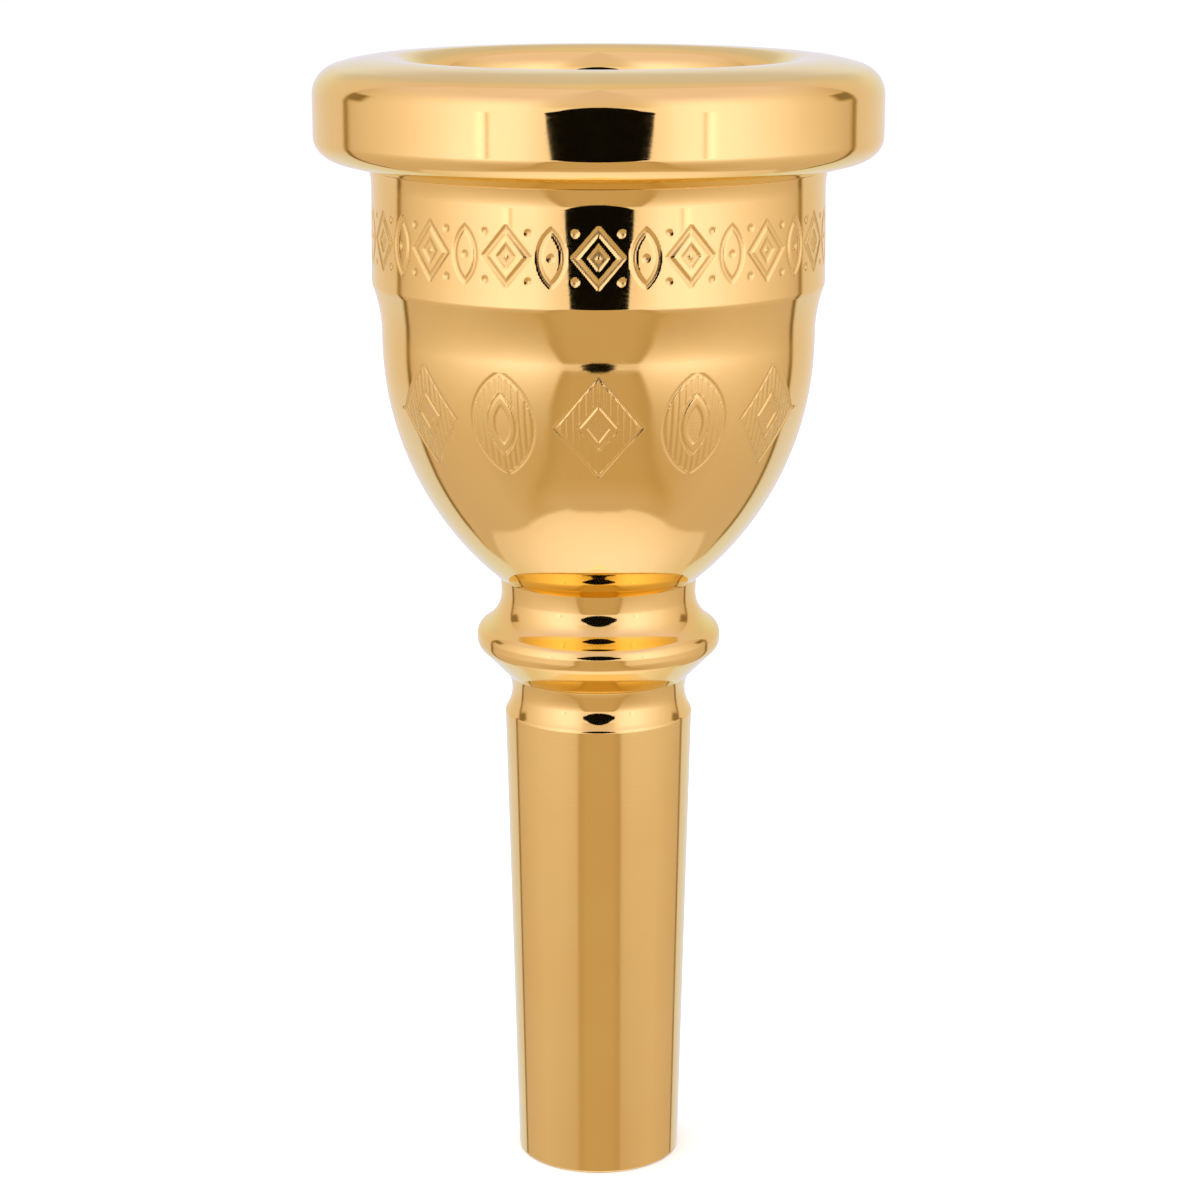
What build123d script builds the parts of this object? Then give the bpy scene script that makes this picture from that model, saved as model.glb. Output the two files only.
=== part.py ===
from build123d import *
import math
import os

# Brass mouthpiece in three screwed pieces: rim, cup and shank.
# Millimetres, +Z up along the bore, origin at the centre of the shank's open end.
# Every piece is turned on a lathe, so each one is a closed profile (radius, height)
# revolved about Z.

# ---- driving dimensions -------------------------------------------------------

# shank: 1:20 taper that goes into the instrument's receiver
SHANK_END_R = 5.965          # outside radius at the open end
TAPER_PER_MM = 0.025         # growth in radius for each mm of height (1:20 on diameter)
SHANK_END_BREAK = 0.12       # edge break round the open end
SHANK_SHOULDER_ROUND = 0.50  # softened edge between taper and cove

# lower cove between taper and ring
LOWER_COVE_R = 2.80          # radius of the cove
LOWER_NECK_R = 6.33          # smallest outside radius in it
LOWER_NECK_Z = 35.83

# turned ring (bead)
RING_R = 8.83
RING_Z = 39.66
RING_FLAT = 0.31             # straight part at the widest line
RING_LOWER_ROUND = 1.01      # below it
RING_UPPER_ROUND = 1.00      # above it
RING_UNDERCUT_DEG = 45.0     # conical underside

# upper cove and neck under the bowl
UPPER_NECK_R = 7.07          # smallest outside radius
UPPER_NECK_Z = 43.06
UPPER_COVE_R = 2.55          # cove from there down to the ring
NECK_TOP_R = 10.50           # flatter curve from there up to the cup
CUP_SEAT_Z = 44.19           # shoulder the cup sits down on

# cup-to-shank thread, drawn as a plain spigot and socket
SHANK_SPIGOT_R = 5.50
SHANK_SPIGOT_TOP_Z = 50.50
SHANK_SOCKET_R = 5.55
SHANK_SOCKET_TOP_Z = 50.75
SPIGOT_CHAMFER = 0.40
SHANK_RELIEF_R = 5.15        # thread run-out groove at the root of the spigot
SHANK_RELIEF_H = 0.80

# bore
THROAT_R = 3.55
THROAT_LOW_Z = 40.0          # straight throat from here up to the cup
BACKBORE_END_R = 4.90        # at the open end

# cup: the bowl is one arc, the step under the band another
BOWL_R = 22.84               # radius of the bowl's outside, seen from the side
BOWL_WAIST_R = 15.40         # widest part of the bowl
BOWL_WAIST_Z = 61.78
STEP_COVE_R = 10.33          # hollow step between bowl and band
STEP_Z = 62.05               # where it starts, above a short straight waist
BAND_LOW_R = 16.06
BAND_HIGH_R = 15.99
BAND_FLARE_Z = 72.40         # above here the band flares out a little, to the rim
BAND_FLARE_R = 5.0
BAND_EDGE = 0.05             # softened edge of the band
RIM_SEAT_Z = 73.74           # shoulder the rim sits down on
THROAT_TOP_Z = 51.60         # start of the throat shoulder inside the cup

# rim-to-cup thread, drawn as a plain spigot and counterbore
CUP_SPIGOT_R = 14.60
CUP_SPIGOT_TOP_Z = 77.80
RIM_SOCKET_R = 14.65
RIM_SOCKET_TOP_Z = 78.00
CUP_RELIEF_R = 14.20
CUP_RELIEF_H = 0.70

# rim
RIM_R = 20.00
RIM_TOP_Z = 81.39
RIM_CROWN_R = 11.20          # large radius over the crown
RIM_UPPER_ROUND = 2.10       # outer top round
RIM_UPPER_DEG = 72.0
# highest line of the crown, so that the outer wall comes out at RIM_R
RIM_CREST_R = RIM_R - RIM_UPPER_ROUND - (RIM_CROWN_R - RIM_UPPER_ROUND) * math.cos(
    math.radians(RIM_UPPER_DEG)
)
RIM_LOWER_ROUND_A = 1.51     # outer bottom round, first part
RIM_LOWER_DEG_A = 39.5
RIM_LOWER_ROUND_B = 2.05     # second part
RIM_LOWER_DEG_B = 76.5
RIM_UNDER_R = 16.15          # where the conical underside meets the seat
BITE_ROUND = 2.00            # inner edge
BITE_R = 12.67               # radius of the opening at the inner edge
CUP_MOUTH_R = 12.62          # inside radius where the rim meets the cup

# ---- helpers ------------------------------------------------------------------


def polar(cr, cz, radius, deg):
    a = math.radians(deg)
    return (cr + radius * math.cos(a), cz + radius * math.sin(a))


def arc(cr, cz, radius, start, end):
    """Arc about (cr, cz) from angle start to angle end, in degrees from outward."""
    mid = 0.5 * (start + end)
    return ThreePointArc(
        polar(cr, cz, radius, start), polar(cr, cz, radius, mid), polar(cr, cz, radius, end)
    )


def turned(edges):
    """Revolve a closed profile, drawn as (radius, height), about Z."""
    face = make_face(Wire(edges))
    face = Plane.XZ * face
    return revolve(face, axis=Axis.Z, revolution_arc=360)


def chain(*items):
    """Lines and curves joined end to end; a tuple is the next corner."""
    edges = []
    here = items[0]
    first = here
    for item in items[1:]:
        if isinstance(item, tuple):
            edges.append(Edge.make_line((here[0], here[1]), (item[0], item[1])))
            here = item
        else:
            start = item @ 0
            if math.hypot(start.X - here[0], start.Y - here[1]) > 1e-6:
                edges.append(Edge.make_line((here[0], here[1]), (start.X, start.Y)))
            edges.append(item.edge() if hasattr(item, "edge") else item)
            end = item @ 1
            here = (end.X, end.Y)
    if math.hypot(here[0] - first[0], here[1] - first[1]) > 1e-6:
        edges.append(Edge.make_line((here[0], here[1]), (first[0], first[1])))
    return edges


# ---- shank --------------------------------------------------------------------

cove_c = (LOWER_NECK_R + LOWER_COVE_R, LOWER_NECK_Z)

# rounded shoulder: tangent to the taper and to the lower cove
taper_deg = -math.degrees(math.atan(TAPER_PER_MM))
shoulder_z = 34.0
for _ in range(60):
    shoulder_r = (
        SHANK_END_R
        + TAPER_PER_MM * shoulder_z
        - SHANK_SHOULDER_ROUND / math.cos(math.radians(taper_deg))
    )
    shoulder_z = cove_c[1] - math.sqrt(
        (LOWER_COVE_R + SHANK_SHOULDER_ROUND) ** 2 - (cove_c[0] - shoulder_r) ** 2
    )
shoulder_deg = math.degrees(math.atan2(cove_c[1] - shoulder_z, cove_c[0] - shoulder_r))

# ring underside is tangent to the lower round; find where it meets the cove
ring_c = (RING_R - RING_LOWER_ROUND, RING_Z)
tangent = polar(ring_c[0], ring_c[1], RING_LOWER_ROUND, -RING_UNDERCUT_DEG)
offset = tangent[1] - tangent[0]          # 45 degree line: height = radius + offset
b = (offset - cove_c[1]) - cove_c[0]
c = cove_c[0] ** 2 + (offset - cove_c[1]) ** 2 - LOWER_COVE_R**2
corner_r = (-b - math.sqrt(b * b - 2 * c)) / 2
corner = (corner_r, corner_r + offset)
corner_deg = math.degrees(math.atan2(corner[1] - cove_c[1], corner[0] - cove_c[0]))

# top of the ring: convex round and a short cone into the cove
upper_ring_c = (RING_R - RING_UPPER_ROUND, RING_Z + RING_FLAT)
upper_cove_c = (UPPER_NECK_R + UPPER_COVE_R, UPPER_NECK_Z)
between = math.hypot(upper_cove_c[0] - upper_ring_c[0], upper_cove_c[1] - upper_ring_c[1])
cone_deg = math.degrees(
    math.atan2(upper_cove_c[1] - upper_ring_c[1], upper_cove_c[0] - upper_ring_c[0])
    - math.acos((UPPER_COVE_R + RING_UPPER_ROUND) / between)
)
cup_seat_deg = math.degrees(math.asin((CUP_SEAT_Z - UPPER_NECK_Z) / NECK_TOP_R))

shank_edges = chain(
    (BACKBORE_END_R, 0.0),
    (SHANK_END_R - SHANK_END_BREAK, 0.0),
    (SHANK_END_R + TAPER_PER_MM * SHANK_END_BREAK, SHANK_END_BREAK),
    arc(shoulder_r, shoulder_z, SHANK_SHOULDER_ROUND, taper_deg, shoulder_deg),
    arc(cove_c[0], cove_c[1], LOWER_COVE_R, 180 + shoulder_deg, corner_deg),
    tangent,
    arc(ring_c[0], ring_c[1], RING_LOWER_ROUND, -RING_UNDERCUT_DEG, 0),
    arc(upper_ring_c[0], upper_ring_c[1], RING_UPPER_ROUND, 0, cone_deg),
    arc(upper_cove_c[0], upper_cove_c[1], UPPER_COVE_R, 180 + cone_deg, 180),
    arc(UPPER_NECK_R + NECK_TOP_R, UPPER_NECK_Z, NECK_TOP_R, 180, 180 - cup_seat_deg),
    (SHANK_RELIEF_R, CUP_SEAT_Z),
    (SHANK_RELIEF_R, CUP_SEAT_Z + SHANK_RELIEF_H),
    (SHANK_SPIGOT_R, CUP_SEAT_Z + SHANK_RELIEF_H + 0.35),
    (SHANK_SPIGOT_R, SHANK_SPIGOT_TOP_Z - SPIGOT_CHAMFER),
    (SHANK_SPIGOT_R - SPIGOT_CHAMFER, SHANK_SPIGOT_TOP_Z),
    (THROAT_R, SHANK_SPIGOT_TOP_Z),
    (THROAT_R, THROAT_LOW_Z),
    Spline(
        (THROAT_R, THROAT_LOW_Z),
        (3.70, 34.0),
        (4.02, 24.0),
        (4.42, 12.0),
        (BACKBORE_END_R, 0.0),
        tangents=[(0, -1), (0.045, -1)],
    ),
)
shank = turned(shank_edges)

# ---- cup ----------------------------------------------------------------------

bowl_c = (BOWL_WAIST_R - BOWL_R, BOWL_WAIST_Z)


def bowl_r(z):
    """Outside radius of the bowl at a height."""
    return bowl_c[0] + math.sqrt(BOWL_R**2 - (z - BOWL_WAIST_Z) ** 2)


bowl_low_deg = math.degrees(math.asin((CUP_SEAT_Z - BOWL_WAIST_Z) / BOWL_R))
bowl = arc(bowl_c[0], bowl_c[1], BOWL_R, bowl_low_deg, 0)
step_c = (BOWL_WAIST_R + STEP_COVE_R, STEP_Z)
step_end_r = BAND_LOW_R - BAND_EDGE
step_end_z = STEP_Z + math.sqrt(STEP_COVE_R**2 - (step_c[0] - step_end_r) ** 2)
step_deg = math.degrees(math.atan2(step_end_z - step_c[1], step_end_r - step_c[0]))
step = arc(step_c[0], step_c[1], STEP_COVE_R, 180, step_deg)
cup_inside = Spline(
    (CUP_MOUTH_R - 0.02, CUP_SPIGOT_TOP_Z),
    (12.52, 75.0),
    (12.28, 71.0),
    (11.72, 66.5),
    (10.70, 62.5),
    (9.20, 59.2),
    (7.30, 56.5),
    (5.50, 54.6),
    (4.30, 53.2),
    (THROAT_R, THROAT_TOP_Z),
    tangents=[(-0.02, -1.0), (-0.12, -1.0)],
)
flare_r = BAND_HIGH_R + BAND_FLARE_R - math.sqrt(
    BAND_FLARE_R**2 - (RIM_SEAT_Z - BAND_FLARE_Z) ** 2
)
flare_deg = math.degrees(math.asin((RIM_SEAT_Z - BAND_FLARE_Z) / BAND_FLARE_R))
flare = arc(BAND_HIGH_R + BAND_FLARE_R, BAND_FLARE_Z, BAND_FLARE_R, 180, 180 - flare_deg)
cup_edges = chain(
    (SHANK_SOCKET_R, CUP_SEAT_Z),
    (bowl_r(CUP_SEAT_Z), CUP_SEAT_Z),
    bowl,
    step,
    (BAND_LOW_R, step_end_z + 0.22),
    flare,
    (CUP_RELIEF_R, RIM_SEAT_Z),
    (CUP_RELIEF_R, RIM_SEAT_Z + CUP_RELIEF_H),
    (CUP_SPIGOT_R, RIM_SEAT_Z + CUP_RELIEF_H + 0.40),
    (CUP_SPIGOT_R, CUP_SPIGOT_TOP_Z - SPIGOT_CHAMFER),
    (CUP_SPIGOT_R - SPIGOT_CHAMFER, CUP_SPIGOT_TOP_Z),
    (CUP_MOUTH_R - 0.02, CUP_SPIGOT_TOP_Z),
    cup_inside,
    (THROAT_R, SHANK_SOCKET_TOP_Z),
    (SHANK_SOCKET_R, SHANK_SOCKET_TOP_Z),
)
cup = turned(cup_edges)

# ---- rim ----------------------------------------------------------------------

crown_c = (RIM_CREST_R, RIM_TOP_Z - RIM_CROWN_R)
crown_out = polar(crown_c[0], crown_c[1], RIM_CROWN_R, RIM_UPPER_DEG)
upper_c = (
    crown_out[0] - RIM_UPPER_ROUND * math.cos(math.radians(RIM_UPPER_DEG)),
    crown_out[1] - RIM_UPPER_ROUND * math.sin(math.radians(RIM_UPPER_DEG)),
)
wall_r = upper_c[0] + RIM_UPPER_ROUND
wall_top_z = upper_c[1]

low_a_c = (wall_r - RIM_LOWER_ROUND_A, 76.00)
low_a_end = polar(low_a_c[0], low_a_c[1], RIM_LOWER_ROUND_A, -RIM_LOWER_DEG_A)
low_b_c = (
    low_a_end[0] - RIM_LOWER_ROUND_B * math.cos(math.radians(RIM_LOWER_DEG_A)),
    low_a_end[1] + RIM_LOWER_ROUND_B * math.sin(math.radians(RIM_LOWER_DEG_A)),
)

# inner edge: the crown runs in until it meets the bite round
bite_r = BITE_R + BITE_ROUND
bite_crown_deg = math.degrees(math.acos((bite_r - crown_c[0]) / (RIM_CROWN_R - BITE_ROUND)))
bite_c = polar(crown_c[0], crown_c[1], RIM_CROWN_R - BITE_ROUND, bite_crown_deg)
rim_edges = chain(
    (RIM_SOCKET_R, RIM_SEAT_Z),
    (RIM_UNDER_R, RIM_SEAT_Z),
    polar(low_b_c[0], low_b_c[1], RIM_LOWER_ROUND_B, -RIM_LOWER_DEG_B),
    arc(low_b_c[0], low_b_c[1], RIM_LOWER_ROUND_B, -RIM_LOWER_DEG_B, -RIM_LOWER_DEG_A),
    arc(low_a_c[0], low_a_c[1], RIM_LOWER_ROUND_A, -RIM_LOWER_DEG_A, 0),
    (wall_r, wall_top_z),
    arc(upper_c[0], upper_c[1], RIM_UPPER_ROUND, 0, RIM_UPPER_DEG),
    arc(crown_c[0], crown_c[1], RIM_CROWN_R, RIM_UPPER_DEG, bite_crown_deg),
    arc(bite_c[0], bite_c[1], BITE_ROUND, bite_crown_deg, 186.0),
    (CUP_MOUTH_R, RIM_SOCKET_TOP_Z),
    (RIM_SOCKET_R, RIM_SOCKET_TOP_Z),
)
rim = turned(rim_edges)

# ---- export -------------------------------------------------------------------

os.makedirs("parts", exist_ok=True)
for name, shape in (("rim", rim), ("cup", cup), ("shank", shank)):
    solid = shape.solid() if hasattr(shape, "solid") else shape
    export_step(solid, "parts/" + name + ".step")
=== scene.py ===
import math

import bpy
import numpy as np
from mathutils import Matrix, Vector


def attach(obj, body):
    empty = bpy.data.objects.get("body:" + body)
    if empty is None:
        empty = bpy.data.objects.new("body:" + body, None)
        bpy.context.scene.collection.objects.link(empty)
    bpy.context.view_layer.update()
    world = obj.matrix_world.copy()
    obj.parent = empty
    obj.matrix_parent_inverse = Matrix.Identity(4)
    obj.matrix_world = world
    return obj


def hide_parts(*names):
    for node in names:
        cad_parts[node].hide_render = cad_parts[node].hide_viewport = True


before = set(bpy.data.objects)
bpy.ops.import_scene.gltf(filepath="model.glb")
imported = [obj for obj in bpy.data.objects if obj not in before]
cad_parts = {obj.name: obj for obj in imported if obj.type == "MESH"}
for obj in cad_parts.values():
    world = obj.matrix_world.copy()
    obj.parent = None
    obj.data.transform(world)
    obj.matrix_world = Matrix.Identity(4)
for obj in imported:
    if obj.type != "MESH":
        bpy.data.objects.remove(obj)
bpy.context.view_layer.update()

MM = 0.001
SEG = 200          # columns round a plain turned surface


# ------------------------------------------------------------------ profile tools
# A profile is a closed loop of spans in (radius, height), millimetres, travelled with
# the metal on the left. Each span samples to rows of (r, z, normal r, normal z).


def unit(v):
    n = math.hypot(v[0], v[1])
    return (v[0] / n, v[1] / n)


class Line:
    def __init__(self, p, q, step=None, pattern=None):
        self.p, self.q, self.step, self.pattern = p, q, step, pattern

    def length(self):
        return math.hypot(self.q[0] - self.p[0], self.q[1] - self.p[1])

    def at(self, s):
        t = s / self.length()
        d = unit((self.q[0] - self.p[0], self.q[1] - self.p[1]))
        return (
            self.p[0] + (self.q[0] - self.p[0]) * t,
            self.p[1] + (self.q[1] - self.p[1]) * t,
            d[1],
            -d[0],
        )

    def stations(self, a, b):
        n = 1
        if self.step:
            n = max(1, int(math.ceil((b - a) / self.step)))
        return np.linspace(a, b, n + 1)


class Arc:
    """About (cr, cz), from angle a0 to a1 in degrees; a1 > a0 bulges out, a1 < a0 is hollow."""

    def __init__(self, cr, cz, radius, a0, a1, step=None, pattern=None, deg=3.0):
        self.c, self.R, self.a0, self.a1 = (cr, cz), radius, a0, a1
        self.step, self.pattern, self.deg = step, pattern, deg

    def length(self):
        return abs(math.radians(self.a1 - self.a0)) * self.R

    def at(self, s):
        sign = 1.0 if self.a1 > self.a0 else -1.0
        a = math.radians(self.a0) + sign * s / self.R
        c, n = math.cos(a), math.sin(a)
        return (self.c[0] + self.R * c, self.c[1] + self.R * n, sign * c, sign * n)

    def stations(self, a, b):
        if self.step:
            n = max(1, int(math.ceil((b - a) / self.step)))
        else:
            n = max(2, int(math.ceil(math.degrees((b - a) / self.R) / self.deg)))
        return np.linspace(a, b, n + 1)


class Curve:
    """Smooth curve through points, cubic by chord length, with given end directions."""

    def __init__(self, points, d0, d1, step=0.8, pattern=None):
        p = np.array(points, float)
        t = np.concatenate([[0], np.cumsum(np.hypot(*np.diff(p, axis=0).T))])
        m = np.zeros_like(p)
        for i in range(1, len(p) - 1):
            a, b = t[i] - t[i - 1], t[i + 1] - t[i]
            m[i] = ((p[i] - p[i - 1]) / a * b + (p[i + 1] - p[i]) / b * a) / (a + b)
        m[0], m[-1] = unit(d0), unit(d1)
        fine = []
        for i in range(len(p) - 1):
            h = t[i + 1] - t[i]
            for u in np.linspace(0, 1, 40, endpoint=(i == len(p) - 2)):
                a = 2 * u**3 - 3 * u**2 + 1
                b = u**3 - 2 * u**2 + u
                c = -2 * u**3 + 3 * u**2
                d = u**3 - u**2
                fine.append(a * p[i] + b * h * m[i] + c * p[i + 1] + d * h * m[i + 1])
        self.f = np.array(fine)
        self.s = np.concatenate([[0], np.cumsum(np.hypot(*np.diff(self.f, axis=0).T))])
        self.step, self.pattern = step, pattern

    def length(self):
        return float(self.s[-1])

    def at(self, s):
        e = 0.05
        r, z = np.interp(s, self.s, self.f[:, 0]), np.interp(s, self.s, self.f[:, 1])
        lo, hi = max(0.0, s - e), min(self.s[-1], s + e)
        d = unit(
            (
                np.interp(hi, self.s, self.f[:, 0]) - np.interp(lo, self.s, self.f[:, 0]),
                np.interp(hi, self.s, self.f[:, 1]) - np.interp(lo, self.s, self.f[:, 1]),
            )
        )
        return (float(r), float(z), d[1], -d[0])

    def stations(self, a, b):
        return np.linspace(a, b, max(2, int(math.ceil((b - a) / self.step))) + 1)


def rounded(spans, edges):
    """Rows of the closed loop. edges[i] is the edge break, in mm, between span i and the next; 0 or None is a sharp corner."""
    n = len(spans)
    cut = [0.0] * n
    for i in range(n):
        f = edges.get(i, edges.get("all", 0.03))
        a, b = spans[i], spans[(i + 1) % n]
        pa, pb = a.at(a.length()), b.at(0.0)
        gap = math.hypot(pa[0] - pb[0], pa[1] - pb[1])
        if gap > 0.02:
            raise ValueError("profile gap of %.3f mm after span %d" % (gap, i))
        turn = abs(math.degrees(math.atan2(pa[2] * pb[3] - pa[3] * pb[2], pa[2] * pb[2] + pa[3] * pb[3])))
        cut[i] = 0.0 if turn < 2.0 else min(f, 0.4 * a.length(), 0.4 * b.length())
    groups = []
    for i in range(n):
        s = spans[i]
        a, b = cut[i - 1], s.length() - cut[i]
        groups.append((s, [s.at(x) for x in s.stations(a, b)], s.stations(a, b)))
        if cut[i] > 0:
            t = spans[(i + 1) % n]
            p0, p2 = s.at(s.length() - cut[i]), t.at(cut[i])
            corner = s.at(s.length())
            rows = []
            for u in np.linspace(0, 1, 5):
                r = (1 - u) ** 2 * p0[0] + 2 * u * (1 - u) * corner[0] + u**2 * p2[0]
                z = (1 - u) ** 2 * p0[1] + 2 * u * (1 - u) * corner[1] + u**2 * p2[1]
                dr = (1 - u) * (corner[0] - p0[0]) + u * (p2[0] - corner[0])
                dz = (1 - u) * (corner[1] - p0[1]) + u * (p2[1] - corner[1])
                d = unit((dr, dz))
                rows.append((r, z, d[1], -d[0]))
            groups.append((None, rows, None))
    return groups


def turned_mesh(name, groups, angles, zones):
    """Closed mesh of the revolved loop. A span with a pattern gets its own columns from zones."""
    verts, tris, tri_normals, cuts = [], [], [], []
    base = 0
    rings = []
    for span, rows, stations in groups:
        pattern = span.pattern if span is not None else None
        cols = zones[pattern][0] if pattern else angles
        for k, row in enumerate(rows):
            if pattern:
                s = stations[k]
                pos, nor, cut = zones[pattern][1](row, s, cols)
            else:
                c, sn = np.cos(cols), np.sin(cols)
                pos = np.stack([row[0] * c, row[0] * sn, np.full(len(cols), row[1])], 1)
                nor = np.stack([row[2] * c, row[2] * sn, np.full(len(cols), row[3])], 1)
                cut = np.zeros(len(cols))
            rings.append((k == 0, cols, pos, nor))
            cuts.append(cut)
    # rows that meet at a join share their place, so the first row of a span is stitched
    # by its own normals to the last row of the one before
    ring_ids = []
    for first, cols, pos, nor in rings:
        ring_ids.append((base, len(cols)))
        verts.append(pos)
        base += len(cols)
    n = len(rings)
    for i in range(n):
        j = (i + 1) % n
        first_j = rings[j][0]
        ca, cb = rings[i][1], rings[j][1]
        same = len(ca) == len(cb) and np.allclose(ca, cb)
        if first_j and same and np.abs(rings[i][2] - rings[j][2]).max() < 1e-5:
            # same circle: merge by reusing the ids
            ring_ids[j] = ring_ids[i] if j != 0 else ring_ids[j]
            if j == 0:
                # the loop closes on ring 0: point the last ring at it
                last = ring_ids[i]
                ring_ids[i] = ring_ids[0]
                for k in range(i - 1, 0, -1):
                    if ring_ids[k] == last:
                        ring_ids[k] = ring_ids[0]
                    else:
                        break
            continue
    for i in range(n):
        j = (i + 1) % n
        (a0, na), (b0, nb) = ring_ids[i], ring_ids[j]
        if a0 == b0:
            continue
        ca, cb = rings[i][1], rings[j][1]
        n_a, n_b = rings[i][3], rings[j][3]
        if rings[j][0]:
            # a stitch between two spans: each row keeps its own normals
            pass
        if na == nb and np.allclose(ca, cb):
            k = np.arange(na)
            k1 = (k + 1) % na
            t1 = np.stack([a0 + k, a0 + k1, b0 + k1], 1)
            t2 = np.stack([a0 + k, b0 + k1, b0 + k], 1)
            tris.append(t1)
            tri_normals.append(np.stack([n_a[k], n_a[k1], n_b[k1]], 1))
            tris.append(t2)
            tri_normals.append(np.stack([n_a[k], n_b[k1], n_b[k]], 1))
        else:
            ia = ib = 0
            out, outn = [], []
            two = 2 * math.pi
            while ia < na or ib < nb:
                next_a = ca[(ia + 1) % na] + (two if ia + 1 >= na else 0)
                next_b = cb[(ib + 1) % nb] + (two if ib + 1 >= nb else 0)
                A, B = ia % na, ib % nb
                if ib >= nb or (ia < na and next_a <= next_b):
                    A1 = (ia + 1) % na
                    out.append((a0 + A, a0 + A1, b0 + B))
                    outn.append((n_a[A], n_a[A1], n_b[B]))
                    ia += 1
                else:
                    B1 = (ib + 1) % nb
                    out.append((a0 + A, b0 + B1, b0 + B))
                    outn.append((n_a[A], n_b[B1], n_b[B]))
                    ib += 1
            tris.append(np.array(out))
            tri_normals.append(np.array(outn))
    verts = np.concatenate(verts) * MM
    tris = np.concatenate(tris)
    tri_normals = np.concatenate(tri_normals)
    used = np.unique(tris)
    remap = np.full(len(verts), -1)
    remap[used] = np.arange(len(used))
    verts, tris = verts[used], remap[tris]
    cuts = np.concatenate(cuts)[used]
    # slivers with no area would upset the normals
    p = verts[tris]
    area = np.linalg.norm(np.cross(p[:, 1] - p[:, 0], p[:, 2] - p[:, 0]), axis=1)
    keep = area > 1e-14
    tris, tri_normals = tris[keep], tri_normals[keep]
    me = bpy.data.meshes.new(name)
    me.from_pydata(verts.tolist(), [], tris.tolist())
    me.polygons.foreach_set("use_smooth", np.ones(len(tris), bool))
    at = me.attributes.new("cut", "FLOAT", "POINT")
    at.data.foreach_set("value", cuts.astype(np.float32))
    flat = tri_normals.reshape(-1, 3)
    flat = flat / np.maximum(np.linalg.norm(flat, axis=1), 1e-9)[:, None]
    me.normals_split_custom_set(flat.tolist())
    me.update()
    ob = bpy.data.objects.new(name, me)
    bpy.context.scene.collection.objects.link(ob)
    return ob


# ------------------------------------------------------------------ engraved ornament


def groove(d, w, edge=0.10):
    """Depth 0..1 of a line of width w at distance d from its middle: round-nosed, sloped sides."""
    t = np.clip((0.5 * w - np.abs(d)) / min(edge, 0.5 * w), 0, 1)
    return t * t * (3 - 2 * t)


def lozenge(x, y, a, b):
    """Signed distance, about, to the lozenge of half width a and half height b."""
    return (np.abs(x) / a + np.abs(y) / b - 1) * (a * b / math.hypot(a, b))


def vesica(x, y, a, b):
    """Signed distance to the pointed oval of half width a and half height b."""
    R = (a * a + b * b) / (2 * a)
    c = R - a
    return np.hypot(np.abs(x) + c, y) - R


def band_depth(theta, y):
    """Frieze round the band: lozenges and pointed ovals in turn. Theta from the front; depth in mm."""
    period = 2 * math.pi / 16
    R = 16.03
    u = (theta / period + 0.5) % 1.0 - 0.5
    x = u * period * R
    d = groove(lozenge(x, y, 1.58, 1.84), 0.58, 0.25)
    d = np.maximum(d, groove(lozenge(x, y, 0.40, 0.50), 0.66, 0.25))
    v = (theta / period) % 1.0 - 0.5
    xv = v * period * R
    d = np.maximum(d, groove(vesica(xv, y, 0.84, 1.80), 0.52, 0.24))
    d = np.maximum(d, groove(np.hypot(xv, y), 0.64, 0.25))
    w = np.abs(u) - 0.25
    xd = w * period * R
    d = np.maximum(d, groove(np.hypot(xd, np.abs(y) - 1.60), 0.64, 0.25))
    return BAND_CUT * d


BAND_CUT, BOWL_CUT = 0.085, 0.067
BOWL_PITCH = 6.30
BOWL_REF_R = 14.10


def bowl_depth(theta, y):
    """Five figures on the front of the bowl: double outlines with upright hatching. Depth in mm."""
    x = theta * BOWL_REF_R
    k = np.clip(np.round(x / BOWL_PITCH), -2, 2)
    xl = x - k * BOWL_PITCH
    odd = (np.abs(k) % 2) == 1
    a, b = 2.75, 3.62
    out = np.where(odd, vesica(xl, y, 2.15, b), lozenge(xl, y, a, b))
    # outlines; between them a lowered strip with upright hatching, like a cut letter's stem
    d = groove(out, 0.38, 0.18)
    d = np.maximum(d, groove(out + 1.18, 0.32, 0.16))
    hatch = groove((xl + 0.21) % 0.42 - 0.21, 0.28, 0.13)
    strip = np.clip((-out - 0.02) / 0.14, 0, 1) * np.clip((out + 1.16) / 0.14, 0, 1)
    d = np.maximum(d, (0.34 + 0.50 * hatch) * strip)
    core = np.where(odd, vesica(xl, y, 0.46, 1.25), lozenge(xl, y, 0.62, 0.90))
    d = np.maximum(d, groove(np.maximum(core, 0.0), 0.34, 0.16))
    return BOWL_CUT * d * (np.abs(theta) < math.radians(64))


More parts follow.
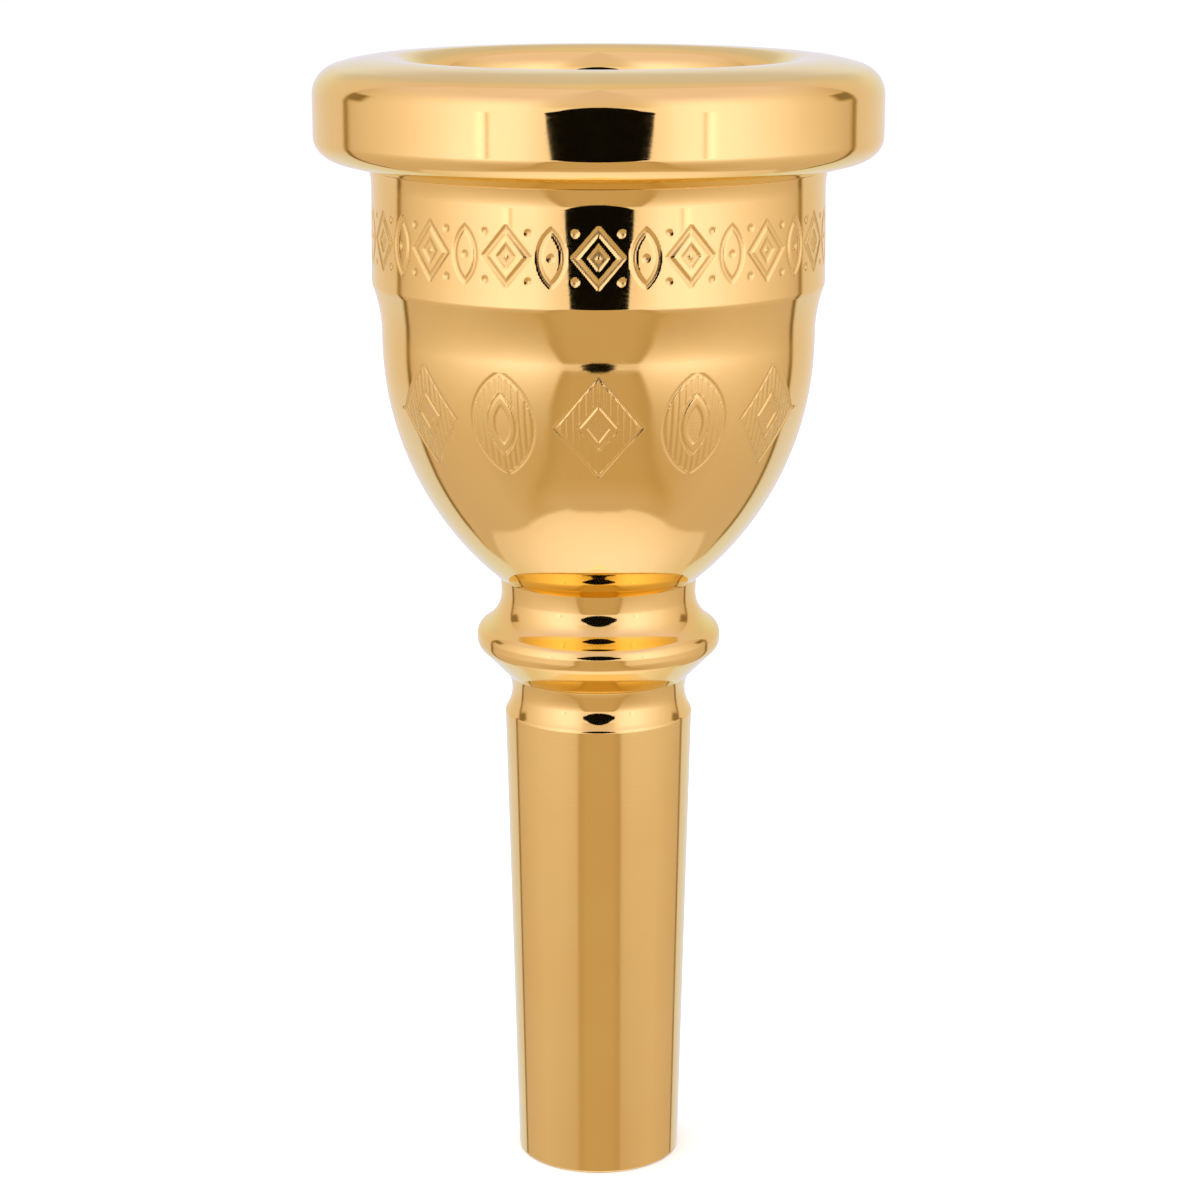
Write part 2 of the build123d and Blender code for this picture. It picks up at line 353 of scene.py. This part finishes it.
def displaced(depth_of, middle, full=None):
    """Ring maker for a zone whose depth below the surface is depth_of(theta, y); full is the
    depth of a cut floor, which is left satin."""

    def ring(row, s, cols):
        r, z, nr, nz = row
        theta = (cols + math.pi / 2 + math.pi) % (2 * math.pi) - math.pi   # 0 at the front, -Y
        y = s - middle
        e = 0.06
        d0 = depth_of(theta, y)
        ds = (depth_of(theta, y + e) - depth_of(theta, y - e)) / (2 * e)
        dt = (depth_of(theta + e / r, y) - depth_of(theta - e / r, y)) / (2 * e)
        c, sn = np.cos(cols), np.sin(cols)
        n0 = np.stack([nr * c, nr * sn, np.full(len(cols), nz)], 1)
        ts = np.stack([-nz * c, -nz * sn, np.full(len(cols), nr)], 1)
        tt = np.stack([-sn, c, np.zeros(len(cols))], 1)
        pos = np.stack([r * c, r * sn, np.full(len(cols), z)], 1) - n0 * d0[:, None]
        nor = n0 + ts * ds[:, None] + tt * dt[:, None]
        nor /= np.linalg.norm(nor, axis=1)[:, None]
        return pos, nor, np.clip(d0 / full, 0, 1) if full else np.zeros(len(cols))

    return ring


def thread(pitch, depth, length, outward):
    """Ring maker for a screw thread that runs out softly at both ends of the zone."""

    def depth_of(theta, y):
        z = y if outward > 0 else -y
        f = (z / pitch - theta / (2 * math.pi)) % 1.0
        v = np.abs(f - 0.5) * 2
        fade = np.clip((0.5 * length - np.abs(y)) / (0.6 * pitch), 0, 1)
        return depth * (0.5 - 0.5 * np.cos(math.pi * np.clip(v * 1.15, 0, 1))) * fade

    return displaced(depth_of, 0.5 * length)


def columns(count, sector=None, fine=None):
    """Angles round the part. With a sector (half angle about the front), fine columns there and plain ones elsewhere."""
    if sector is None:
        return np.linspace(0, 2 * math.pi, count, endpoint=False)
    front = -math.pi / 2
    a = np.linspace(front - sector, front + sector, fine)
    rest = np.linspace(front + sector, front - sector + 2 * math.pi, count)[1:-1]
    allc = np.concatenate([a, rest]) % (2 * math.pi)
    return np.sort(allc)


# ------------------------------------------------------------------ the three pieces


def arc_deg(c, p):
    return math.degrees(math.atan2(p[1] - c[1], p[0] - c[0]))


def polar(c, R, deg):
    return (c[0] + R * math.cos(math.radians(deg)), c[1] + R * math.sin(math.radians(deg)))


# shank
cove_c = (9.13, 35.83)
taper_deg = -math.degrees(math.atan(0.025))
shoulder_z = 34.0
for _ in range(60):
    shoulder_r = 5.965 + 0.025 * shoulder_z - 0.50 / math.cos(math.radians(taper_deg))
    shoulder_z = cove_c[1] - math.sqrt(3.30**2 - (cove_c[0] - shoulder_r) ** 2)
shoulder_c = (shoulder_r, shoulder_z)
shoulder_deg = math.degrees(math.atan2(cove_c[1] - shoulder_z, cove_c[0] - shoulder_r))

ring_low_c = (8.83 - 1.01, 39.66)
tan_p = polar(ring_low_c, 1.01, -45)
off = tan_p[1] - tan_p[0]
qb = (off - cove_c[1]) - cove_c[0]
qc = cove_c[0] ** 2 + (off - cove_c[1]) ** 2 - 2.80**2
corner_r = (-qb - math.sqrt(qb * qb - 2 * qc)) / 2
corner = (corner_r, corner_r + off)

ring_up_c = (8.83 - 1.00, 39.97)
up_c = (7.07 + 2.55, 43.06)
between = math.hypot(up_c[0] - ring_up_c[0], up_c[1] - ring_up_c[1])
cone_deg = math.degrees(
    math.atan2(up_c[1] - ring_up_c[1], up_c[0] - ring_up_c[0]) - math.acos((2.55 + 1.00) / between)
)
seat_deg = math.degrees(math.asin((44.19 - 43.06) / 10.50))
seat_r = 7.07 + 10.50 * (1 - math.cos(math.radians(seat_deg)))
shank_spans = [
    Line((4.90, 0.0), (5.845, 0.0)),
    Line((5.845, 0.0), (5.968, 0.12)),
    Line((5.968, 0.12), polar(shoulder_c, 0.50, taper_deg), step=2.0),
    Arc(shoulder_c[0], shoulder_c[1], 0.50, taper_deg, shoulder_deg, deg=4.0),
    Arc(cove_c[0], cove_c[1], 2.80, 180 + shoulder_deg, arc_deg(cove_c, corner) % 360, deg=2.0),
    Line(corner, tan_p),
    Arc(ring_low_c[0], ring_low_c[1], 1.01, -45, 0),
    Line((8.83, 39.66), (8.83, 39.97)),
    Arc(ring_up_c[0], ring_up_c[1], 1.00, 0, cone_deg, deg=2.0),
    Line(polar(ring_up_c, 1.00, cone_deg), polar(up_c, 2.55, 180 + cone_deg)),
    Arc(up_c[0], up_c[1], 2.55, 180 + cone_deg, 180.0, deg=1.5),
    Arc(7.07 + 10.50, 43.06, 10.50, 180.0, 180 - seat_deg, deg=0.8),
    Line((seat_r, 44.19), (5.15, 44.19)),
    Line((5.15, 44.19), (5.15, 44.99)),
    Line((5.15, 44.99), (5.50, 45.34)),
    Line((5.50, 45.34), (5.50, 50.10), step=0.11, pattern="shank_thread"),
    Line((5.50, 50.10), (5.10, 50.50)),
    Line((5.10, 50.50), (3.55, 50.50)),
    Line((3.55, 50.50), (3.55, 40.0), step=2.0),
    Curve([(3.55, 40.0), (3.70, 34.0), (4.02, 24.0), (4.42, 12.0), (4.90, 0.0)], (0, -1), (0.045, -1), step=1.5),
]
shank_edges = {"all": 0.05, 0: 0.06, 1: 0.10, 4: 0.03, 11: 0.01, 19: 0.08}
shank_cols = columns(SEG)
shank = turned_mesh(
    "shank_body",
    rounded(shank_spans, shank_edges),
    shank_cols,
    {"shank_thread": (columns(120), thread(0.80, 0.22, 4.76, 1))},
)

# cup
bowl_c = (-7.44, 61.78)
BOWL_R = 22.84


def bowl_at(z):
    """The bowl's angle at a height, degrees."""
    return math.degrees(math.asin((z - bowl_c[1]) / BOWL_R))


step_c = (25.73, 62.05)
step_end = (16.01, 62.05 + math.sqrt(10.33**2 - (25.73 - 16.01) ** 2))
ORN_LOW, ORN_HIGH = 54.2, 61.32
BAND_A, BAND_B = 67.05, 71.35
BAND_DR = (15.99 - 16.06) / (72.40 - 65.767)


def band_r(z):
    return 16.06 + (z - 65.767) * BAND_DR


flare_end = (20.99 - math.sqrt(25.0 - (73.74 - 72.40) ** 2), 73.74)
low_r = -7.44 + math.sqrt(BOWL_R**2 - (44.19 - 61.78) ** 2)
orn_len = math.radians(bowl_at(ORN_HIGH) - bowl_at(ORN_LOW)) * BOWL_R
cup_spans = [
    Line((5.55, 44.19), (low_r, 44.19)),
    Arc(bowl_c[0], bowl_c[1], BOWL_R, bowl_at(44.19), bowl_at(ORN_LOW), deg=1.5),
    Arc(bowl_c[0], bowl_c[1], BOWL_R, bowl_at(ORN_LOW), bowl_at(ORN_HIGH), step=0.125, pattern="bowl_ornament"),
    Arc(bowl_c[0], bowl_c[1], BOWL_R, bowl_at(ORN_HIGH), 0.0, deg=0.6),
    Line((15.40, 61.78), (15.40, 62.05)),
    Arc(step_c[0], step_c[1], 10.33, 180.0, arc_deg(step_c, step_end) % 360, deg=1.5),
    Line(step_end, (16.06, step_end[1] + 0.22)),
    Line((16.06, step_end[1] + 0.22), (band_r(BAND_A), BAND_A)),
    Line((band_r(BAND_A), BAND_A), (band_r(BAND_B), BAND_B), step=0.11, pattern="band_ornament"),
    Line((band_r(BAND_B), BAND_B), (15.99, 72.40)),
    Arc(20.99, 72.40, 5.0, 180.0, arc_deg((20.99, 72.40), flare_end) % 360, deg=1.5),
    Line(flare_end, (14.20, 73.74)),
    Line((14.20, 73.74), (14.20, 74.44)),
    Line((14.20, 74.44), (14.60, 74.84)),
    Line((14.60, 74.84), (14.60, 77.40), step=0.10, pattern="cup_thread"),
    Line((14.60, 77.40), (14.20, 77.80)),
    Line((14.20, 77.80), (12.60, 77.80)),
    Curve(
        [
            (12.60, 77.80),
            (12.52, 75.0),
            (12.28, 71.0),
            (11.72, 66.5),
            (10.70, 62.5),
            (9.20, 59.2),
            (7.30, 56.5),
            (5.50, 54.6),
            (4.30, 53.2),
            (3.55, 51.60),
        ],
        (-0.02, -1.0),
        (-0.12, -1.0),
        step=0.9,
    ),
    Line((3.55, 51.60), (3.55, 50.75)),
    Line((3.55, 50.75), (5.55, 50.75)),
    Line((5.55, 50.75), (5.55, 44.19), step=0.14, pattern="cup_socket"),
]
cup_edges = {"all": 0.04, 0: 0.015, 5: 0.06, 6: 0.10, 17: 0.2}
cup = turned_mesh(
    "cup_body",
    rounded(cup_spans, cup_edges),
    columns(SEG),
    {
        "bowl_ornament": (columns(60, math.radians(63), 344), displaced(bowl_depth, 0.5 * orn_len, BOWL_CUT)),
        "band_ornament": (columns(864), displaced(band_depth, 0.5 * (BAND_B - BAND_A), BAND_CUT)),
        "cup_thread": (columns(160), thread(0.75, 0.20, 2.56, 1)),
        "cup_socket": (columns(96), thread(0.80, 0.14, 6.56, -1)),
    },
)

# rim
crest_r = 20.0 - 2.10 - (11.20 - 2.10) * math.cos(math.radians(72))
crown_c = (crest_r, 81.39 - 11.20)


crown_out = polar(crown_c, 11.20, 72)
upper_c = (crown_out[0] - 2.10 * math.cos(math.radians(72)), crown_out[1] - 2.10 * math.sin(math.radians(72)))
low_a_c = (20.0 - 1.51, 76.0)
low_a_end = polar(low_a_c, 1.51, -39.5)
low_b_c = (low_a_end[0] - 2.05 * math.cos(math.radians(39.5)), low_a_end[1] + 2.05 * math.sin(math.radians(39.5)))
bite_deg = math.degrees(math.acos((12.67 + 2.0 - crown_c[0]) / (11.20 - 2.0)))
bite_c = polar(crown_c, 11.20 - 2.0, bite_deg)
bite_end = polar(bite_c, 2.0, 186)
rim_spans = [
    Line((14.65, 73.74), (16.15, 73.74)),
    Line((16.15, 73.74), polar(low_b_c, 2.05, -76.5)),
    Arc(low_b_c[0], low_b_c[1], 2.05, -76.5, -39.5),
    Arc(low_a_c[0], low_a_c[1], 1.51, -39.5, 0),
    Line((20.0, 76.0), (20.0, upper_c[1]), step=1.0),
    Arc(upper_c[0], upper_c[1], 2.10, 0, 72),
    Arc(crown_c[0], crown_c[1], 11.20, 72, bite_deg, deg=1.0),
    Arc(bite_c[0], bite_c[1], 2.0, bite_deg, 186, deg=2.0),
    Line(bite_end, (12.62, 78.0)),
    Line((12.62, 78.0), (14.65, 78.0)),
    Line((14.65, 78.0), (14.65, 73.74), step=0.12, pattern="rim_socket"),
]
rim_edges = {"all": 0.04, 0: 0.03, 8: 0.04}
rim = turned_mesh(
    "rim_body",
    rounded(rim_spans, rim_edges),
    columns(SEG),
    {"rim_socket": (columns(SEG), thread(0.75, 0.16, 4.26, -1))},
)


# ------------------------------------------------------------------ materials


def node(tree, kind, x=0, y=0, **inputs):
    n = tree.nodes.new(kind)
    n.location = (x, y)
    for key, value in inputs.items():
        n.inputs[key].default_value = value
    return n


def gold(name, base, roughness, turned=False):
    """Polished gold plate over brass: slight colour drift, fine polishing marks, roughness that varies.
    turned adds the fine circular lines that the tool leaves on the taper."""
    m = bpy.data.materials.new(name)
    m.use_nodes = True
    t = m.node_tree
    t.nodes.clear()
    L = t.links.new
    out = t.nodes.new("ShaderNodeOutputMaterial")
    p = t.nodes.new("ShaderNodeBsdfPrincipled")
    p.inputs["Metallic"].default_value = 1.0
    # edge tint of the plating, a little green against the red of the face
    p.inputs["Specular Tint"].default_value = (0.97, 1.0, 0.90, 1)
    L(p.outputs[0], out.inputs[0])
    tc = t.nodes.new("ShaderNodeTexCoord")
    sep = t.nodes.new("ShaderNodeSeparateXYZ")
    L(tc.outputs["Object"], sep.inputs[0])

    def noise(scale, detail=2.0, stretch=(1, 1, 1), rough=0.5):
        mp = t.nodes.new("ShaderNodeMapping")
        mp.inputs["Scale"].default_value = stretch
        L(tc.outputs["Object"], mp.inputs[0])
        n = t.nodes.new("ShaderNodeTexNoise")
        n.inputs["Scale"].default_value = scale
        n.inputs["Detail"].default_value = detail
        n.inputs["Roughness"].default_value = rough
        L(mp.outputs[0], n.inputs["Vector"])
        return n.outputs["Fac"]

    def remap(value, a, b, c, d):
        r = t.nodes.new("ShaderNodeMapRange")
        r.inputs["From Min"].default_value = a
        r.inputs["From Max"].default_value = b
        r.inputs["To Min"].default_value = c
        r.inputs["To Max"].default_value = d
        L(value, r.inputs["Value"])
        return r.outputs["Result"]

    def math_node(op, a, b=None, c=None):
        n = t.nodes.new("ShaderNodeMath")
        n.operation = op
        for i, v in enumerate((a, b, c)):
            if v is None:
                continue
            if isinstance(v, (int, float)):
                n.inputs[i].default_value = v
            else:
                L(v, n.inputs[i])
        return n.outputs[0]

    # colour: plating a touch paler and redder in soft patches
    mix = t.nodes.new("ShaderNodeMix")
    mix.data_type = "RGBA"
    mix.inputs["A"].default_value = (base[0], base[1], base[2], 1)
    mix.inputs["B"].default_value = (base[0] * 0.985, base[1] * 0.955, base[2] * 0.90, 1)
    L(remap(noise(130.0, 3.0), 0.35, 0.7, 0.0, 1.0), mix.inputs["Factor"])
    L(mix.outputs["Result"], p.inputs["Base Color"])

    # polishing marks: short fine scratches running mostly round the part
    fine = noise(900.0, 4.0, (1, 1, 9), 0.65)
    broad = noise(55.0, 2.0)
    rough_value = math_node(
        "ADD",
        remap(fine, 0.45, 0.75, roughness, roughness + 0.035),
        remap(broad, 0.3, 0.7, 0.0, 0.02),
    )
    # the floor of an engraved line is left satin by the cutter
    cut = t.nodes.new("ShaderNodeAttribute")
    cut.attribute_name = "cut"
    cut = cut.outputs["Fac"]
    grain = noise(5200.0, 2.0)
    rough_value = math_node("ADD", rough_value, math_node("MULTIPLY", cut, remap(grain, 0.3, 0.7, 0.22, 0.36)))
    height = math_node("MULTIPLY", fine, 0.10)
    height = math_node("ADD", height, math_node("MULTIPLY", cut, math_node("MULTIPLY", grain, 1.2)))
    wave = noise(95.0, 1.0)
    height = math_node("ADD", height, math_node("MULTIPLY", wave, 2.2))

    if turned:
        z = sep.outputs["Z"]
        # 1 on the taper, 0 on the polished neck and ring above it
        mask = remap(z, 0.0338, 0.0342, 1.0, 0.0)
        mp = t.nodes.new("ShaderNodeMapping")
        mp.inputs["Scale"].default_value = (0.0, 0.0, 1.0)
        L(tc.outputs["Object"], mp.inputs[0])
        lines = t.nodes.new("ShaderNodeTexNoise")
        lines.inputs["Scale"].default_value = 6200.0
        lines.inputs["Detail"].default_value = 3.0
        lines.inputs["Roughness"].default_value = 0.6
        L(mp.outputs[0], lines.inputs["Vector"])
        slow = noise(1.0, 2.0, (60, 60, 700), 0.5)
        rough_value = math_node(
            "ADD", rough_value, math_node("MULTIPLY", mask, remap(slow, 0.3, 0.7, 0.015, 0.06))
        )
        height = math_node(
            "ADD", height, math_node("MULTIPLY", mask, math_node("MULTIPLY", lines.outputs["Fac"], 0.9))
        )
    L(rough_value, p.inputs["Roughness"])
    bump = t.nodes.new("ShaderNodeBump")
    bump.inputs["Strength"].default_value = 1.0
    bump.inputs["Distance"].default_value = 0.000004
    L(height, bump.inputs["Height"])
    L(bump.outputs[0], p.inputs["Normal"])
    return m


BASE = (0.98, 0.71, 0.17)
polished = gold("polished_gold", BASE, 0.035)
satin = gold("fine_turned_gold", BASE, 0.045, turned=True)

for ob, mat, body, slot_name, cad in (
    (rim, polished, "rim", "polished_plate", "rim"),
    (cup, polished, "cup", "polished_plate", "cup"),
    (shank, satin, "shank", "turned_plate", "shank"),
):
    ob.data.materials.append(mat)
    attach(ob, body)
    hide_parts(cad)
    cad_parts[cad].data.materials.clear()
    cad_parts[cad].data.materials.append(mat)


# ------------------------------------------------------------------ studio


def stage_mesh(name, verts, faces, mat, values=None):
    me = bpy.data.meshes.new(name)
    me.from_pydata([(x * MM, y * MM, z * MM) for x, y, z in verts], [], faces)
    if values is not None:
        a = me.attributes.new("tone", "FLOAT", "POINT")
        a.data.foreach_set("value", np.asarray(values, np.float32))
    me.update()
    ob = bpy.data.objects.new(name, me)
    bpy.context.scene.collection.objects.link(ob)
    me.materials.append(mat)
    return ob


def only_reflected(ob):
    ob.visible_camera = False
    ob.visible_diffuse = False
    ob.visible_shadow = False
    ob.visible_transmission = False
    ob.visible_volume_scatter = False


def glow(name, attribute=True, strength=1.0):
    m = bpy.data.materials.new(name)
    m.use_nodes = True
    t = m.node_tree
    t.nodes.clear()
    out = t.nodes.new("ShaderNodeOutputMaterial")
    e = t.nodes.new("ShaderNodeEmission")
    e.inputs["Color"].default_value = (1, 1, 1, 1)
    e.inputs["Strength"].default_value = strength
    if attribute:
        a = t.nodes.new("ShaderNodeAttribute")
        a.attribute_name = "tone"
        t.links.new(a.outputs["Color"], e.inputs["Color"])
    t.links.new(e.outputs[0], out.inputs[0])
    return m


card_mat = glow("soft_card")


def smooth(x, a, b):
    t = np.clip((x - a) / (b - a), 0, 1)
    return t * t * (3 - 2 * t)


# The light tent round the object, by direction: az in degrees from the front, el above the
# horizon. White sheets stand at both sides of an opening at the front and fall off towards
# the back and towards the table; a seam at each side, a pale sheet behind, a lit sheet below.
def tent_tone(az, el):
    a = np.abs(az)
    left = az < 0
    hi = np.interp(
        a,
        [18, 24, 30, 36, 46, 56, 66, 76, 86, 96, 106, 114, 122],
        [1.00, 1.14, 1.28, 1.34, 1.38, 1.30, 1.18, 1.06, 0.93, 0.83, 0.74, 0.64, 0.58],
    )
    lo = np.interp(a, [20, 36, 50, 65, 80, 100, 122], [0.46, 0.49, 0.52, 0.57, 0.62, 0.61, 0.59])
    fall = np.exp(-np.clip(-7.0 - el, 0, 90) / 11.0)
    side = lo + (hi - lo) * fall
    side = side + (0.86 - side) * smooth(el, 22, 58)
    # opening at the front: dull table between the sheets
    w = np.interp(
        el, [-56, -50, -46, -40, -33, -28, -22, -17, -11, -8], [62, 50, 42, 35, 31, 29, 27.5, 25, 21.5, 19]
    ) + np.where(left, -1.4, 1.2)
    soft = np.interp(el, [-56, -40, -25, -11], [12, 5, 2.2, 1.6])
    column = 0.505 - 0.055 * smooth(a, w * 0.55, w * 0.95) + 0.09 * smooth(-el, 48, 60)
    inside = 1 - smooth(a, w - soft, w + soft)
    inside = inside * (1 - smooth(el, -9.5, -7.5))
    t = side + (column - side) * inside
    t = t + (0.76 - t) * smooth(el, 20, 26) * (1 - smooth(a, 8, 30))
    # folds in the sheets
    level = smooth(el, -4.5, -3.7) * (1 - smooth(el, 1, 6))
    t = t * (1 - 0.42 * np.exp(-(((az + 43.4) / 0.8) ** 2)) * level)
    t = t * (1 + 0.16 * np.exp(-(((az + 46.6) / 1.8) ** 2)) * level)
    t = t * (1 - 0.32 * np.exp(-(((az - 41.5) / 0.9) ** 2)) * level)
    t = t * (1 + 0.16 * np.exp(-(((az - 44.4) / 1.7) ** 2)) * level)
    # seam, then the sheet behind
    seam = np.interp(el, [-42, -40, -33, -28, -22, -15, -5, 5, 20], [139, 136, 131, 127.5, 124, 120.8, 118.4, 118, 117])
    seam = seam + np.where(left, -0.4, 2.0)
    back = 0.765 + 0.07 * smooth(a, 125, 165)
    t = t + (back - t) * smooth(a, seam + 1.1, seam + 2.8)
    dark = np.exp(-(((a - seam) / 2.3) ** 2)) * smooth(el, -44, -38) * (1 - smooth(el, 19, 24))
    patch = smooth(a, seam - 15, seam - 8) * (1 - smooth(a, seam, seam + 2)) * smooth(el, 3, 11) * (1 - smooth(el, 19, 23))
    dark = np.maximum(dark, 1.15 * patch)
    t = t + (0.28 - 0.11 * (1 - smooth(el, -14, -6)) - t) * dark
    # weave of the sheets, seen as faint upright streaks low down
    weave = 0.5 * np.sin(az * 2.9 + 1.0) + 0.3 * np.sin(az * 5.3) + 0.2 * np.sin(az * 9.1 + 0.6)
    t = t * (1 + 0.022 * weave * (1 - smooth(el, -22, -12)) * smooth(el, -60, -50))
    # lit sheet underneath
    edge = np.interp(a, [0, 20, 30, 80, 90, 100, 110, 118, 180], [-64, -63.2, -61.6, -61.0, -59.5, -57, -53, -49.5, -46])
    below = np.interp(-el, [46, 54, 60, 63, 67, 75, 85, 90], [0.76, 0.80, 0.90, 0.95, 1.03, 1.12, 1.17, 1.18])
    t = t + (below - t) * smooth(-el, -edge - 0.8, -edge + 0.8)
    # light that has bounced off the warm table is warmer; the brightest sheet runs to white
    red = t * np.interp(t, [0.30, 0.50, 0.60, 0.70, 0.80, 1.0], [1.20, 1.18, 1.09, 1.06, 1.03, 1.0])
    blue = t * np.interp(t, [0.30, 0.50, 0.60, 0.70, 0.80, 1.0, 1.3], [0.58, 0.66, 0.86, 0.91, 0.97, 1.07, 1.22])
    # the sheets at the sides are a little cooler than the one behind
    rear = smooth(a, 115, 160)
    green = t * (0.912 + 0.043 * rear) * 0.958
    blue = blue * (1.41 - 0.28 * rear)
    # the ceiling sheet is greyer, and dimmer behind
    high = smooth(el, 28, 50)
    blue = blue * (1 + 0.22 * high)
    rear_low = smooth(a, 130, 160)
    dim = rear_low * smooth(el, 16, 30) * (1 - 0.6 * smooth(el, 45, 70))
    red = red * (1 - 0.20 * dim)
    green = green * (1 - 0.15 * dim)
    pale = rear_low * (1 - smooth(el, 16, 30)) * smooth(el, -4, 4)
    green = green * (1 + 0.07 * pale)
    low = smooth(a, seam + 1, seam + 4) * (1 - smooth(el, -24, -10)) * smooth(el, -50, -44)
    red = red * (1 - 0.05 * low)
    green = green * (1 + 0.10 * low)
    blue = blue * (1 + 0.36 * low)
    red = red * (1 - 0.03 * pale)
    blue = blue * (1 + 0.08 * pale)
    return np.stack([red, green, blue, np.ones_like(t)], -1)


def dome(name, radius, centre_z):
    az = np.arange(-180, 180, 0.75)
    el = np.concatenate([np.arange(-90, -20, 1.0), np.arange(-20, 26, 0.75), np.arange(26, 90.1, 2.0)])
    A, E = np.meshgrid(az, el)
    ra, re = np.radians(A), np.radians(E)
    x, y, z = np.sin(ra) * np.cos(re) * radius, -np.cos(ra) * np.cos(re) * radius, np.sin(re) * radius + centre_z
    co = np.stack([x, y, z], -1).reshape(-1, 3) * MM
    tone = tent_tone(A, E).reshape(-1, 4)
    n = len(az)
    faces = []
    for j in range(len(el) - 1):
        for i in range(n):
            i1 = (i + 1) % n
            faces.append((j * n + i, j * n + i1, (j + 1) * n + i1, (j + 1) * n + i))
    me = bpy.data.meshes.new(name)
    me.from_pydata(co.tolist(), [], faces)
    at = me.attributes.new("tone", "FLOAT_COLOR", "POINT")
    at.data.foreach_set("color", tone.astype(np.float32).ravel())
    me.update()
    ob = bpy.data.objects.new(name, me)
    bpy.context.scene.collection.objects.link(ob)
    me.materials.append(card_mat)
    only_reflected(ob)
    return ob


dome("light_tent", 700.0, 50.0)

# the camera's side of the opening
dark = glow("dark_room", attribute=False, strength=0.003)


def flat_card(name, pts, mat):
    ob = stage_mesh(name, pts, [tuple(range(len(pts)))], mat)
    only_reflected(ob)
    return ob


Y_CAM = -216.0
SIDE = [
    (-12, 14, 24), (-31, 31, 29), (-49, 52, 38), (-61, 65, 52), (-70, 76, 57.5), (-76, 81, 61), (-78, 83, 72),
    (-78, 82, 88), (-74, 78, 97), (-56, 60, 115), (-44, 48, 138), (-24, 28, 155), (-8, 12, 163),
]
flat_card(
    "camera_side",
    [(x1, Y_CAM, z) for x0, x1, z in SIDE] + [(x0, Y_CAM, z) for x0, x1, z in reversed(SIDE)],
    dark,
)

# the floor itself
fm = bpy.data.materials.new("pale_floor")
fm.use_nodes = True
fp = fm.node_tree.nodes["Principled BSDF"]
fp.inputs["Base Color"].default_value = (0.93, 0.93, 0.93, 1)
fp.inputs["Roughness"].default_value = 0.9
fp.inputs["Specular IOR Level"].default_value = 0.1
S = 3000.0
floor = stage_mesh("floor", [(-S, -S, 0), (S, -S, 0), (S, S, 0), (-S, S, 0)], [(0, 1, 2, 3)], fm)
floor.visible_glossy = False

world = bpy.data.worlds.new("studio")
bpy.context.scene.world = world
world.use_nodes = True
wt = world.node_tree
bg = wt.nodes["Background"]
bg.inputs["Color"].default_value = (1, 1, 1, 1)
bg.inputs["Strength"].default_value = 1.08

light = bpy.data.lights.new("softbox", "AREA")
light.shape = "SQUARE"
light.size = 0.5
light.energy = 3.0
lo = bpy.data.objects.new("softbox", light)
lo.location = (-0.05, -0.05, 0.60)
lo.visible_glossy = False
bpy.context.scene.collection.objects.link(lo)

# ------------------------------------------------------------------ camera

cam = bpy.data.cameras.new("camera")
cam.sensor_width = 36.0
cam.lens = 3038.0 * 36.0 / 1200.0
cam.shift_x = 1.5 / 1200.0
cam.clip_start = 0.01
cam.clip_end = 20.0
camera = bpy.data.objects.new("camera", cam)
camera.location = (0.0, -0.215, 0.0944)
camera.rotation_euler = (math.radians(90 - 13.62), 0.0, 0.0)
bpy.context.scene.collection.objects.link(camera)
bpy.context.scene.camera = camera

bpy.context.scene.view_settings.view_transform = "Standard"
bpy.context.scene.view_settings.look = "None"

for ob in (rim, cup, shank):
    print("PIECE", ob.name, "triangles", len(ob.data.polygons))
